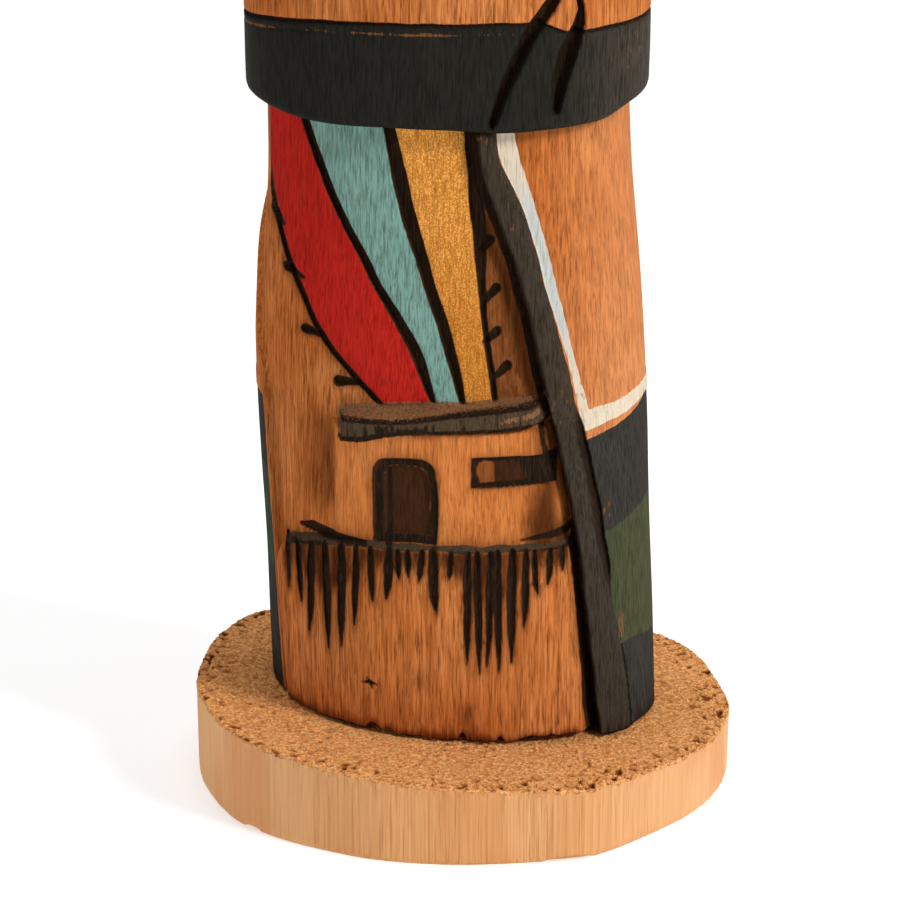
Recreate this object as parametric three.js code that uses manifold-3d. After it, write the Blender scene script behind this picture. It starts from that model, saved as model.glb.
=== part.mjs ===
// A kachina doll carved from one length of cottonwood root, standing on a slice of the same root.
// Millimetres, +Z up, origin at the middle of the slice's underside, the doll's front towards -Y.
import * as THREE from "three";
import { mergeVertices } from "three/addons/utils/BufferGeometryUtils.js";
import Module from "manifold-3d";

const wasm = await Module();
wasm.setup();

// ---------- driving dimensions ----------

// The root slice: its outline seen from above, its height at the middle and the slope of its sawn top.
const SLICE_OUTLINE = [
  [-47.6, 0], [-45.7, -10], [-40.3, -22], [-31.7, -30.1], [-16.2, -37.8], [-2.4, -40.1], [13, -39.1],
  [20.5, -37.6], [26.3, -33.9], [38.3, -22], [43.6, -14], [47.6, 0], [46.4, 11], [41.6, 26.4],
  [33, 34.5], [18, 39.4], [0, 40.1], [-18, 39.4], [-37.3, 33], [-44.1, 22.6], [-47.2, 8.4],
];
const SLICE_STEPS = 84;
const SLICE_HEIGHT = 14.5;
const SLOPE = Math.tan(THREE.MathUtils.degToRad(3.36)); // the top falls towards +X
const FOOT_GAP = 0.3;

// The doll's cross-sections, foot to crown: height, left, right, front and back.
const ROBE = [
  [10, -34.3, 34.5, -20.8, 31],
  [30, -34.8, 33.8, -21.2, 31],
  [46, -35.4, 33.0, -21.0, 31],
  [60, -36.0, 32.5, -18.6, 30.6],
  [75, -36.4, 31.8, -16.5, 30],
  [95, -36.0, 30.4, -14.6, 29.2],
  [112, -35.0, 28.9, -13.6, 28.7],
  [123.9, -34.9, 28.2, -13.1, 28.5],
];
const HEM = [
  [124.1, -36.3, 30.7, -16.1, 31.2],
  [125.4, -37.2, 31.5, -17.1, 32.2],
  [141.2, -37.5, 31.7, -17.1, 32.2],
  [141.8, -36.8, 31.0, -16.3, 31.5],
];
const CAPE = [
  [142.4, -37.5, 31.6, -17.0, 32.1],
  [158, -37.2, 31.9, -17.0, 31.4],
  [173, -35.7, 31.0, -15.9, 29.8],
  [184, -32.6, 28.5, -13.4, 27.3],
  [192, -27.8, 24.4, -9.8, 23.7],
  [198, -20.5, 17.5, -5.0, 19.0],
];
const HEAD_X = -1.5;
const HEAD_Y = 7;
// Height and radius of the ruff, the mask with its brow band, and the dome of the crown.
const RUFF = [[199, 22.6], [202.5, 24.2], [206.5, 23.2], [209, 20.2]];
const MASK = [
  [209.6, 19.0], [224, 19.9], [237, 19.5], [237.4, 20.6], [241.6, 20.3], [242, 19.1],
  [247.5, 16.2], [251.6, 11.9], [254, 6.8],
];
const CROWN_Z = 255;

const SEGMENTS = 48;
const WIDEST_Y = { left: 10, leftUpper: 7, right: 5 }; // where each side reaches furthest out
const BODY_POWER = 2.15; // a section a little squarer than an ellipse
const HAIR_DEPTH = 0.9;
const RUFF_DEPTH = 1.3;

// How far each level of the carving stands out of the robe's surface, or lies below it.
const LEVEL = {
  panel: -1.3, ray: -0.9, rayGroove: -2.1, tick: -2.1, roof: 2.3, wallTop: 1.0, wallFoot: -0.8,
  doorFrame: 0.2, door: -0.5, window: -0.7, ledge: 0.5, drip: -0.2, strip: 1.4, stripGroove: -0.3,
  gouge: -2.8, leftStrip: 0.4, notch: -0.8, pleat: -2.4, seam: -0.7, eye: -1.4, mouth: -1.2, nose: 1.8,
};

// Lines on the front, as [x, z]. The rays fall from the hem to the house.
const RAY_TOP = 124;
const RAY_LINES = {
  redLeft: [[-33.2, 124], [-32.2, 109], [-28.6, 96], [-22.4, 84.2], [-13.4, 74.6]],
  redRight: [[-27.9, 124], [-23.9, 112.8], [-17.3, 98.9], [-9.2, 83.7], [-5.4, 74.6]],
  turquoiseLeft: [[-26.4, 124], [-21.8, 111.4], [-14.3, 96.5], [-6.7, 82.9], [-4.5, 74.6]],
  turquoiseRight: [[-13.7, 124], [-11.8, 112.3], [-7.8, 98.6], [-3.4, 84.7], [-0.7, 74.6]],
  goldLeft: [[-11.8, 124], [-9.1, 112.4], [-5.6, 98.6], [-1.7, 85.6], [0.4, 74.6]],
  goldRight: [[0, 124], [1, 109.1], [2.3, 95.1], [3.9, 82], [4.9, 74.6]],
};
const OUTER_GROOVE = 1.1; // width of the groove outside the red and the gold ray

// The front panel lies between the robe's two borders, which lean to the left as they rise.
const LEFT_BORDER = [[-31.2, 10], [-32.2, 27], [-33, 43], [-33.8, 60], [-35, 76]];
const LEFT_BORDER_UPPER = [[1.2, 74], [8.5, 95], [15.5, 110], [22, 124]]; // round the side, as [y, z]
const STRIP_LEFT = [
  [24, 10], [22.7, 23], [20.8, 40], [18.7, 55], [15.7, 69], [12.4, 83.4], [9.1, 97.6], [4.6, 110.8],
  [2.4, 117.5], [1.6, 124],
];
const STRIP_RIGHT = [
  [30, 10], [28.6, 24], [25.6, 40], [22.9, 56], [20.2, 69], [17.7, 81], [13.7, 95.5], [9.7, 109.7],
  [6, 118.4], [5.3, 124],
];
const GOUGE_WIDTH = 2.6;
const STRIP_GROOVE = [[20.4, 69], [22.9, 56.3], [24.8, 44.2], [27.6, 29.5]];
const STRIP_GROOVE_WIDTH = 1.2;
const LEFT_NOTCHES = [58, 39.6];

// The house on its ledge: each box is left, right, foot, top.
const ROOF_OUTLINE = [[-21.2, 68.6], [-14, 69.9], [12, 71.4], [16, 71.6], [16, 75.6], [6, 75], [-21.2, 73]];
const WALL = { left: -22.3, right: 18.2, foot: 49, top: 71 };
const DOOR_FRAME = { left: -15.4, right: -4.6, foot: 50.4, top: 65.6 };
const DOOR = { left: -13.5, right: -6.2, foot: 51.8, top: 64.2 };
const WINDOW = { left: 1.2, right: 16, foot: 61, top: 66.3 };
const LEDGE_LINE = [[-32.4, 45.5], [-29.5, 48.4], [-22, 50.4], [0, 50.7], [19.4, 50.4]];
// Burnt strokes hanging from the ledge: x and the height of the stroke's tip.
const DRIPS = [
  [-30.6, 38], [-28.6, 36.5], [-26.7, 31.6], [-23.7, 29.4], [-21.2, 30.2], [-18.8, 35.1], [-15.9, 40.2],
  [-13.2, 40.8], [-9.9, 45.2], [-5.2, 38.8], [-2.5, 45], [0.5, 29.3], [2.5, 27.4], [4.3, 28.7],
  [5.9, 27.7], [8.2, 29.2], [10.5, 35.6], [12.4, 41.5], [14.7, 43.2], [17, 45.3],
];
const DRIP_WIDTH = 1.2;
const DRIP_TOP = 49.6;
// Knife ticks beside the rays: x, z, length and angle in degrees.
const TICKS = [
  [-31.8, 105, 3, -50], [-29.2, 95.8, 3.4, -20], [-25.8, 86, 4, -8], [-19.8, 78, 5, 4],
  [3.9, 103, 3.2, 55], [4.6, 94.5, 3.6, 55], [5, 87.1, 3.6, 50], [6.7, 80.7, 3.8, 45],
];
const TICK_WIDTH = 1.6;
// Where the two edges of the cape overlap, two deep cuts run down across the hem.
const PLEATS = [
  [[17, 148.5, 0.6], [13.8, 144.4, 1.2], [10.8, 140.2, 1.3], [7.4, 133, 1.1], [4.4, 125.6, 0.5]],
  [[16, 146.4, 0.6], [18.6, 142.2, 0.9], [16.6, 137.6, 1.1], [15, 131.8, 1.1], [13.8, 126.6, 0.5]],
];
const SEAM = [[16.4, 147.6], [13.5, 160], [8.2, 174], [1.2, 188], [-1.5, 194]];
const SEAM_WIDTH = 1.3;

const EYE = { across: 7.6, z: 230.5, width: 7.4, height: 2.6 };
const MOUTH = { z: 217, width: 6.4, height: 2.4 };
const NOSE = [[-1.5, 231.5], [-3.6, 222.6], [0.6, 222.6]];
const EAR = { z: 228, width: 8, height: 9.5, reach: 3.2 };
const FEATHER = { height: 16.5, halfWidth: 3.7, thick: 2.6, sink: 4, lean: 24 };

// ---------- solids ----------

// A closed geometry as a solid that can be joined and cut.
function solid(geometry) {
  geometry.deleteAttribute("normal");
  geometry.deleteAttribute("uv");
  const merged = mergeVertices(geometry, 1e-5);
  return new wasm.Manifold(new wasm.Mesh({
    numProp: 3,
    vertProperties: new Float32Array(merged.attributes.position.array),
    triVerts: new Uint32Array(merged.index.array),
  }));
}

function geometryOf(made) {
  const { vertProperties, triVerts } = made.getMesh();
  const geometry = new THREE.BufferGeometry();
  geometry.setAttribute("position", new THREE.BufferAttribute(vertProperties, 3));
  geometry.setIndex(new THREE.BufferAttribute(triVerts, 1));
  geometry.computeVertexNormals();
  return geometry;
}

function join(solids) {
  return solids.reduce((all, one) => all.add(one));
}

// An outline drawn on the front, [x, z], run from the plane y = from out to y = from - length.
function prism(outline, from = 2, length = 70) {
  const shape = new THREE.Shape(outline.map(([x, z]) => new THREE.Vector2(x, z)));
  const geometry = new THREE.ExtrudeGeometry(shape, { depth: length, bevelEnabled: false });
  return solid(geometry.rotateX(Math.PI / 2).translate(0, from, 0));
}

function rectangle({ left, right, foot, top }) {
  return [[left, foot], [right, foot], [right, top], [left, top]];
}

// A smooth line through a few points.
function smooth(points, steps = 9) {
  const curve = new THREE.SplineCurve(points.map(([x, z]) => new THREE.Vector2(x, z)));
  return curve.getPoints(steps).map(({ x, y }) => [x, y]);
}

// The area between two lines that run the same way.
function between(lineA, lineB) {
  return [...lineA, ...lineB.slice().reverse()];
}

// A line given a width, constant or from a third number on each point.
function ribbon(line, width) {
  const side = (sign) => line.map(([x, z, half = width / 2], i) => {
    const [ax, az] = line[Math.max(i - 1, 0)];
    const [bx, bz] = line[Math.min(i + 1, line.length - 1)];
    const length = Math.hypot(bx - ax, bz - az);
    return [x + (sign * half * (bz - az)) / length, z - (sign * half * (bx - ax)) / length];
  });
  return between(side(-1), side(1));
}

// ---------- the doll's body ----------

const roundRow = ([z, r]) => [z, HEAD_X - r, HEAD_X + r, HEAD_Y - r, HEAD_Y + r];
const RUFF_FOOT = RUFF[0][0];
const NECK_Z = CAPE[CAPE.length - 1][0];

// The sections from foot to crown as rings of one skin, standing out by level(z) millimetres.
function body(level = () => 0) {
  const rows = [...ROBE, ...HEM, ...CAPE, ...RUFF.map(roundRow), ...MASK.map(roundRow)];
  const positions = [];
  const index = [];
  rows.forEach(([z, left, right, front, back]) => {
    const out = level(z);
    for (let s = 0; s < SEGMENTS; s += 1) {
      const turn = (2 * Math.PI * s) / SEGMENTS; // from the front round by the right
      positions.push(...skinPoint(z, [left, right, front, back], turn, out + groove(z, s)));
    }
  });
  const foot = rows.length * SEGMENTS;
  positions.push(0, HEAD_Y, rows[0][0], HEAD_X, HEAD_Y, CROWN_Z + level(CROWN_Z));
  for (let s = 0; s < SEGMENTS; s += 1) {
    const next = (s + 1) % SEGMENTS;
    index.push(foot, next, s);
    for (let r = 0; r + 1 < rows.length; r += 1) {
      const [a, b] = [r * SEGMENTS + s, r * SEGMENTS + next];
      index.push(a, b, b + SEGMENTS, a, b + SEGMENTS, a + SEGMENTS);
    }
    const last = (rows.length - 1) * SEGMENTS;
    index.push(last + s, last + next, foot + 1);
  }
  const geometry = new THREE.BufferGeometry();
  geometry.setAttribute("position", new THREE.Float32BufferAttribute(positions, 3));
  geometry.setIndex(index);
  return solid(geometry);
}

function skinPoint(z, [left, right, front, back], turn, out) {
  const middle = (left + right) / 2;
  const across = Math.sin(turn);
  const ahead = Math.cos(turn); // 1 at the front, -1 at the back
  const upper = THREE.MathUtils.smoothstep(z, 46, 95);
  const shoulder = THREE.MathUtils.smoothstep(z, 142, NECK_Z);
  const widestLeft = THREE.MathUtils.lerp(WIDEST_Y.left, WIDEST_Y.leftUpper, upper);
  const widestRight = THREE.MathUtils.lerp(WIDEST_Y.right, HEAD_Y, shoulder);
  const widest = across < 0 ? widestLeft : widestRight;
  const power = THREE.MathUtils.lerp(BODY_POWER, 2, shoulder);
  const bend = (value) => Math.sign(value) * Math.abs(value) ** (2 / power);
  const reach = (ahead > 0 ? widest - front : back - widest) + out;
  return [middle + bend(across) * ((right - left) / 2 + out), widest - bend(ahead) * reach, z];
}

// Every second line of the skin is cut in, for the ruff all round and for the hair at the back.
function groove(z, s) {
  if (s % 2 === 0 || z < RUFF_FOOT || z > 249) return 0;
  if (z < MASK[0][0]) return -RUFF_DEPTH;
  const behind = s > SEGMENTS * 0.3 && s < SEGMENTS * 0.7;
  return behind ? -HAIR_DEPTH : 0;
}

const bodies = new Map();
function bodyAt(level) {
  if (!bodies.has(level)) bodies.set(level, body(() => level));
  return bodies.get(level);
}

// Carving: an outline on the front raised to a level, or cut down to one.
function raise(doll, outline, level, skin = bodyAt(level)) {
  return doll.add(prism(outline).intersect(skin));
}
function sink(doll, outline, level) {
  return doll.subtract(prism(outline).subtract(bodyAt(level)));
}

// ---------- the robe, the panel and the rays ----------

function carvePanel(doll) {
  const left = [...smooth(LEFT_BORDER), [-40, 77], [-40, RAY_TOP]];
  const panel = between(left, smooth(STRIP_LEFT));
  let carved = sink(doll, panel, LEVEL.panel);
  const side = prism([[16, 74], ...LEFT_BORDER_UPPER.map(([y, z]) => [-y, z]), [16, RAY_TOP]]);
  carved = carved.subtract(side.rotate([0, 0, -90]).subtract(bodyAt(LEVEL.panel)));
  const lowerWall = between(
    [...smooth(LEDGE_LINE, 6)],
    [[-30.8, 8], [24, 8]],
  );
  carved = raise(carved, lowerWall, LEVEL.ledge);
  return carved;
}

function carveRays(doll) {
  const line = Object.fromEntries(
    Object.entries(RAY_LINES).map(([name, points]) => [name, smooth(points)]),
  );
  const beside = (points, shift) => points.map(([x, z]) => [x + shift, z]);
  const rays = between(line.redLeft, line.goldRight);
  const grooves = [
    between(beside(line.redLeft, -OUTER_GROOVE), line.redLeft),
    between(line.redRight, line.turquoiseLeft),
    between(line.turquoiseRight, line.goldLeft),
    between(line.goldRight, beside(line.goldRight, OUTER_GROOVE)),
  ];
  const raised = raise(doll, rays, LEVEL.ray);
  return grooves.reduce((carved, outline) => sink(carved, outline, LEVEL.rayGroove), raised);
}

function carveTicks(doll) {
  return TICKS.reduce((carved, [x, z, length, angle]) => {
    const turn = THREE.MathUtils.degToRad(angle);
    const at = (along, out) => [
      x + along * Math.cos(turn) - out * Math.sin(turn),
      z + along * Math.sin(turn) + out * Math.cos(turn),
    ];
    const [far, half] = [length / 2, TICK_WIDTH / 2];
    const drop = [at(-far, -half * 0.7), at(0, -half), at(far, 0), at(0, half), at(-far, half * 0.7)];
    return sink(carved, drop, LEVEL.tick);
  }, doll);
}

function carveBorders(doll) {
  const stripLeft = smooth(STRIP_LEFT, 14);
  const gouge = between(stripLeft.map(([x, z]) => [x - GOUGE_WIDTH, z]), stripLeft);
  let carved = sink(doll, gouge, LEVEL.gouge);
  carved = raise(carved, between(stripLeft, smooth(STRIP_RIGHT, 14)), LEVEL.strip);
  carved = sink(carved, ribbon(smooth(STRIP_GROOVE, 6), STRIP_GROOVE_WIDTH), LEVEL.stripGroove);
  const outside = [[-45, 10], [-45, 74]];
  carved = raise(carved, between(outside, smooth(LEFT_BORDER)), LEVEL.leftStrip);
  return LEFT_NOTCHES.reduce((notched, z) => {
    const notch = [[-45, z - 0.9], [-33.6, z - 0.5], [-33.6, z + 0.5], [-45, z + 0.9]];
    return sink(notched, notch, LEVEL.notch);
  }, carved);
}

// ---------- the house, its ledge and the strokes below ----------

function carveHouse(doll) {
  const { wallTop, wallFoot } = LEVEL;
  const lean = (z) => THREE.MathUtils.mapLinear(
    THREE.MathUtils.clamp(z, WALL.foot, WALL.top), WALL.foot, WALL.top, wallFoot, wallTop,
  );
  let carved = raise(doll, rectangle(WALL), wallTop, body(lean));
  carved = raise(carved, ROOF_OUTLINE, LEVEL.roof);
  carved = sink(carved, archTop(DOOR_FRAME, 1), LEVEL.doorFrame);
  carved = sink(carved, archTop(DOOR, 0.8), LEVEL.door);
  return sink(carved, rectangle(WINDOW), LEVEL.window);
}

// A doorway whose lintel is bowed upwards by rise.
function archTop({ left, right, foot, top }, rise) {
  const middle = (left + right) / 2;
  return [[left, foot], [right, foot], [right, top - rise], [middle, top], [left, top - rise]];
}

function carveDrips(doll) {
  const half = DRIP_WIDTH / 2;
  return DRIPS.reduce((carved, [x, tip]) => {
    const belly = tip + (DRIP_TOP - tip) * 0.4;
    const stroke = [[x, tip], [x + half, belly], [x + half * 0.8, DRIP_TOP], [x - half * 0.8, DRIP_TOP], [x - half, belly]];
    return sink(carved, stroke, LEVEL.drip);
  }, doll);
}

// ---------- the cape's overlap and the head ----------

function carveCape(doll) {
  const seamed = sink(doll, ribbon(smooth(SEAM, 8), SEAM_WIDTH), LEVEL.seam);
  return PLEATS.reduce((carved, line) => sink(carved, ribbon(line), LEVEL.pleat), seamed);
}

function carveFace(doll) {
  const slot = (x, z, width, height) => rectangle({
    left: x - width / 2, right: x + width / 2, foot: z - height / 2, top: z + height / 2,
  });
  let carved = raise(doll, NOSE, LEVEL.nose);
  for (const side of [-1, 1]) {
    const eye = slot(HEAD_X + side * EYE.across, EYE.z, EYE.width, EYE.height);
    carved = sink(carved, eye, LEVEL.eye);
    const ear = new THREE.BoxGeometry(EAR.reach * 2, EAR.width, EAR.height);
    const radius = MASK[1][1];
    carved = carved.add(solid(ear.translate(HEAD_X + side * radius, HEAD_Y, EAR.z)));
  }
  return sink(carved, slot(HEAD_X, MOUTH.z, MOUTH.width, MOUTH.height), LEVEL.mouth);
}

// Three short feathers, cut from the same wood as the crown.
function feathers() {
  const { height, halfWidth, thick, sink: depth, lean } = FEATHER;
  const outline = [
    [-halfWidth * 0.45, -depth], [halfWidth * 0.45, -depth], [halfWidth, height * 0.55],
    [halfWidth * 0.75, height * 0.85], [0, height], [-halfWidth * 0.75, height * 0.85],
    [-halfWidth, height * 0.55],
  ];
  const shape = new THREE.Shape(outline.map(([x, z]) => new THREE.Vector2(x, z)));
  return [-1, 0, 1].map((place) => {
    const feather = new THREE.ExtrudeGeometry(shape, { depth: thick, bevelEnabled: false });
    feather.rotateX(Math.PI / 2).translate(0, thick / 2, 0);
    feather.rotateY(THREE.MathUtils.degToRad(place * lean));
    feather.translate(HEAD_X + place * 1.6, HEAD_Y + Math.abs(place) * 0.8, CROWN_Z - 1);
    return solid(feather);
  });
}

// ---------- the two pieces ----------

// Everything above the slice's sawn top plus a gap, as one large wedge.
function aboveSlice(gap) {
  const far = 80;
  const top = 400;
  const height = (x) => SLICE_HEIGHT + gap - x * SLOPE;
  return prism([[-far, height(-far)], [far, height(far)], [far, top], [-far, top]], far, 2 * far);
}

function makeFigure() {
  const steps = [carvePanel, carveRays, carveTicks, carveHouse, carveDrips, carveBorders, carveCape, carveFace];
  const carved = steps.reduce((doll, carve) => carve(doll), bodyAt(0));
  return join([carved, ...feathers()]).intersect(aboveSlice(FOOT_GAP));
}

function makeBase() {
  const points = SLICE_OUTLINE.map(([x, y]) => new THREE.Vector3(x, y, 0));
  const curve = new THREE.CatmullRomCurve3(points, true);
  const rim = curve.getPoints(SLICE_STEPS).slice(0, -1).map(({ x, y }) => new THREE.Vector2(x, y));
  const block = new THREE.ExtrudeGeometry(new THREE.Shape(rim), { depth: 25, bevelEnabled: false });
  return solid(block).subtract(aboveSlice(0));
}

function piece(name, made, colour, roughness) {
  const material = new THREE.MeshStandardMaterial({ color: colour, roughness, metalness: 0 });
  const mesh = new THREE.Mesh(geometryOf(made), material);
  mesh.name = name;
  return mesh;
}

const doll = new THREE.Group();
doll.add(piece("base", makeBase(), 0xdcae7c, 0.85));
doll.add(piece("figure", makeFigure(), 0xb9703c, 0.6));

export default doll;
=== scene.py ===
"""The looks of a carved kachina doll on a slice of root: fine carving, paint, burnt lines and sawn wood.

Lengths are in millimetres until a mesh is made, which is in metres.
"""

import functools
import math
from types import SimpleNamespace

import bpy
import numpy as np
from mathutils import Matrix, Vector


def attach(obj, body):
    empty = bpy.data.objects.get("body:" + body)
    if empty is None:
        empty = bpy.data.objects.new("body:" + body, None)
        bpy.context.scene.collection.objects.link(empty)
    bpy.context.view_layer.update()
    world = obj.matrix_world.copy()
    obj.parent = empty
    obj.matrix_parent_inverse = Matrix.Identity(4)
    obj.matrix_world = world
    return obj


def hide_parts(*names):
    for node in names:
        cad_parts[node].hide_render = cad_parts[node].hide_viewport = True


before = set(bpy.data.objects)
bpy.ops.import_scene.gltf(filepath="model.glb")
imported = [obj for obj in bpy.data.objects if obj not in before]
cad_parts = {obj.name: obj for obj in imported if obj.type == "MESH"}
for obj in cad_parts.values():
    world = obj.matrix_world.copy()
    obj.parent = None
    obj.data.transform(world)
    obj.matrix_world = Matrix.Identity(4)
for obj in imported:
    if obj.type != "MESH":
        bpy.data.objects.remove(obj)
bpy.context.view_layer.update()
MM = 0.001

# ---------- measures shared with the solids ----------

SLICE_OUTLINE = [
    (-47.6, 0), (-45.7, -10), (-40.3, -22), (-31.7, -30.1), (-16.2, -37.8), (-2.4, -40.1), (13, -39.1),
    (20.5, -37.6), (26.3, -33.9), (38.3, -22), (43.6, -14), (47.6, 0), (46.4, 11), (41.6, 26.4),
    (33, 34.5), (18, 39.4), (0, 40.1), (-18, 39.4), (-37.3, 33), (-44.1, 22.6), (-47.2, 8.4),
]
SLICE_HEIGHT = 14.5
SLOPE = math.tan(math.radians(3.36))
# How far in from the slice's edge its torn grain is modelled.
FINE_DEPTH = 22
FOOT_GAP = 0.3
# The hem's lower edge, the robe's last row under it, and a height that tells their vertices apart.
HEM_FOOT, ROBE_TOP, HEM_SPLIT = 124, 123.9, 123.97
NECK_Z, RUFF_TOP, MASK_FOOT, BROW_FOOT, BROW_TOP = 198, 209.3, 209.6, 237.2, 241.8

# Height, left, right, front and back of the sections.
ROBE = np.array([
    (10, -34.3, 34.5, -20.8, 31), (30, -34.8, 33.8, -21.2, 31), (46, -35.4, 33, -21, 31),
    (60, -36, 32.5, -18.6, 30.6), (75, -36.4, 31.8, -16.5, 30), (95, -36, 30.4, -14.6, 29.2),
    (112, -35, 28.9, -13.6, 28.7), (ROBE_TOP, -34.9, 28.2, -13.1, 28.5),
])
CAPE = np.array([
    (HEM_FOOT, -37.2, 31.5, -17.1, 32.2), (134, -37.4, 31.6, -17.1, 32.2), (142.4, -37.5, 31.6, -17, 32.1),
    (158, -37.2, 31.9, -17, 31.4), (173, -35.7, 31, -15.9, 29.8), (184, -32.6, 28.5, -13.4, 27.3),
    (192, -27.8, 24.4, -9.8, 23.7), (NECK_Z, -20.5, 17.5, -5, 19),
])
HEAD_X, HEAD_Y = -1.5, 7
RUFF = [(199, 22.6), (202.5, 24.2), (206.5, 23.2), (209, 20.2)]
MASK = [(MASK_FOOT, 19), (224, 19.9), (237, 19.5), (237.4, 20.6), (241.6, 20.3), (242, 19.1)]
DOME_FOOT, DOME_RADIUS, CROWN_Z = 242, 19.1, 255
WIDEST_LEFT, WIDEST_LEFT_UPPER, WIDEST_RIGHT = 10, 7, 5
BODY_POWER = 2.15
SHOULDER_Z = 142

# Heights of the carving against the robe's surface.
PANEL, RAY, RAY_GROOVE, ROOF, WALL_TOP, WALL_FOOT = -1.3, -0.9, -2.1, 2.3, 1, -0.8
LEDGE, STRIP, GOUGE = 0.5, 1.3, -3
GOUGE_WIDTH = 3.2

RAY_LINES = {
    "red_left": [(-33.2, 124), (-32.2, 109), (-28.6, 96), (-22.4, 84.2), (-13.4, 74.6)],
    "red_right": [(-27.9, 124), (-23.9, 112.8), (-17.3, 98.9), (-9.2, 83.7), (-5.4, 74.6)],
    "turquoise_left": [(-26.4, 124), (-21.8, 111.4), (-14.3, 96.5), (-6.7, 82.9), (-4.5, 74.6)],
    "turquoise_right": [(-13.7, 124), (-11.8, 112.3), (-7.8, 98.6), (-3.4, 84.7), (-0.7, 74.6)],
    "gold_left": [(-11.8, 124), (-9.1, 112.4), (-5.6, 98.6), (-1.7, 85.6), (0.4, 74.6)],
    "gold_right": [(0, 124), (1, 109.1), (2.3, 95.1), (3.9, 82), (4.9, 74.6)],
}
OUTER_GROOVE = 1.1
LEFT_BORDER_Y = [(-4.3, 10), (-3, 27), (-2.1, 43), (-1.2, 58), (0.8, 74), (8.8, 95), (15.5, 110), (22, 124)]
STRIP_LEFT = [
    (24, 10), (22.7, 23), (20.8, 40), (18.7, 55), (15.7, 69), (12.4, 83.4), (9.1, 97.6), (4.6, 110.8),
    (2.4, 117.5), (1.6, 124),
]
STRIP_RIGHT = [
    (30, 10), (28.6, 24), (25.6, 40), (22.9, 56), (20.2, 69), (17.7, 81), (13.7, 95.5), (9.7, 109.7),
    (6, 118.4), (5.3, 124),
]
WHITE_RIGHT = [
    (22.6, 68), (21.2, 73.8), (18.4, 84.5), (16.6, 91.7), (14.3, 100.6), (12.2, 108.6), (9.7, 116.6),
    (8.3, 124),
]
ROOF_TOP_FRONT = [(-21.2, 72.6), (-10.9, 73), (-2.4, 74.1), (6, 74.9), (16, 75.4)]
ROOF_TOP_BACK = [(-21.2, 73.4), (-12.7, 74.9), (4.4, 75.4), (16, 75.9)]
ROOF_FOOT = [(-21.2, 68.6), (-17.8, 68.9), (-14.3, 69.9), (-2.4, 70.9), (6.1, 71.1), (16, 71.8)]
ROOF_LEFT = -21.2
WALL_BOX = (-22.3, 18.2, 49, 71)
DOOR_FRAME_BOX = (-15.4, -4.6, 50.6, 65.6)
DOOR_BOX = (-13.5, -6.2, 52.2, 64.2)
WINDOW_BOX = (1.2, 16, 61, 66.3)
LEDGE_LINE = [
    (-32, 38), (-31.4, 44.5), (-30.4, 47.3), (-28, 48.8), (-24, 49.8), (-20, 50.4), (0, 50.8), (19.4, 50.5),
]
# Burnt strokes below the ledge: x, tip and width.
DRIPS = [
    (-30.6, 38, 0.9), (-28.6, 36.5, 1.1), (-26.7, 31.6, 1.4), (-23.7, 29.4, 1.5), (-21.2, 30.2, 1.6),
    (-18.8, 35.1, 1.3), (-15.9, 40.2, 1.3), (-13.2, 40.8, 1.7), (-11.4, 44.6, 1.2), (-9.7, 45.2, 1.2),
    (-7.6, 44.4, 1.3), (-5.2, 38.8, 1.9),
    (-2.5, 45, 1.2), (0.5, 29.3, 1.5), (2.5, 27.4, 1.5), (4.3, 28.7, 1.4), (5.9, 27.7, 1.5),
    (8.2, 29.2, 1.7), (10.5, 35.6, 1.4), (12.4, 41.5, 1.1), (14.7, 43.2, 1.2), (17, 45.3, 1),
]
# Ticks beside the rays: x, z, length, angle in degrees.
TICKS = [
    (-31.8, 105, 3.2, -50), (-29.2, 95.8, 3.6, -20), (-25.8, 86, 4.2, -8), (-19.8, 78, 5, 4),
    (3.9, 103, 3.2, 232), (4.8, 94.5, 3.6, 228), (5, 87.1, 3.2, 220), (6.8, 80.9, 3.2, 220),
]
TICK_WIDTH = 1.9
# Small strokes, as points of x, z and half width.
MARKS = [
    [(-28.1, 50.3, 0.4), (-26, 50.7, 0.95), (-23.6, 50.5, 0.8), (-17, 50.4, 0.3)],
    [(9.5, 51.3, 0.1), (15, 51.8, 0.6), (19, 52.4, 0.8)],
]
STAR = [
    [(-17.9, 24.6, 0.05), (-16.3, 24.8, 0.4), (-14.9, 24.5, 0.05)],
    [(-16.9, 25.7, 0.05), (-16.3, 24.8, 0.3), (-15.9, 23.7, 0.05)],
]
CRACK = [(16.4, 24.5, 0), (16.5, 19, 0.1), (16.4, 15, 0.05)]
WINDOW_STILE = [(13.2, 71.2, 0.5), (13.6, 68, 0.45), (14.2, 66, 0.6)]
LEFT_JAMB = [(-12.7, 64, 0.3), (-12.6, 57, 0.45), (-12.9, 50, 0.5)]
BARE_BEAM = [(3.5, 72.5, 0.05), (7.5, 73.1, 0.3), (12.5, 74, 0.5)]
# Chips along the figure's foot: x, half width and height.
CHIPS = [
    (-15.8, 1.5, 1.3), (-13.2, 1.3, 0.9), (-0.2, 0.8, 1.5), (6.4, 0.8, 0.9), (-7.5, 0.9, 0.4),
    (3, 0.6, 0.4),
]
# Small dark knots in the scorched wood: x, z, size and share.
KNOTS = [(-7.6, 26.5, 1.6, 0.5), (0.5, 20.5, 1.5, 0.65), (0.8, 17.5, 1.3, 0.4), (1.5, 28, 1, 0.3)]
# Soft ovals where the paint is rubbed off: x, z, half width, half height and share.
WORN_SPOTS = [
    (25.3, 53.8, 3, 2.2, 0.8), (8.4, 106.5, 1.3, 0.8, 1), (27.6, 32.5, 0.9, 4, 1),
    (3.2, 122.6, 1.8, 0.9, 1), (29, 135, 6, 6, 0.5),
]
# How far under the hem's upper edge the worn line runs, and how high any paint of the hem goes.
WORN_LINE, HEM_PAINT_TOP = 1.6, 150
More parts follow.
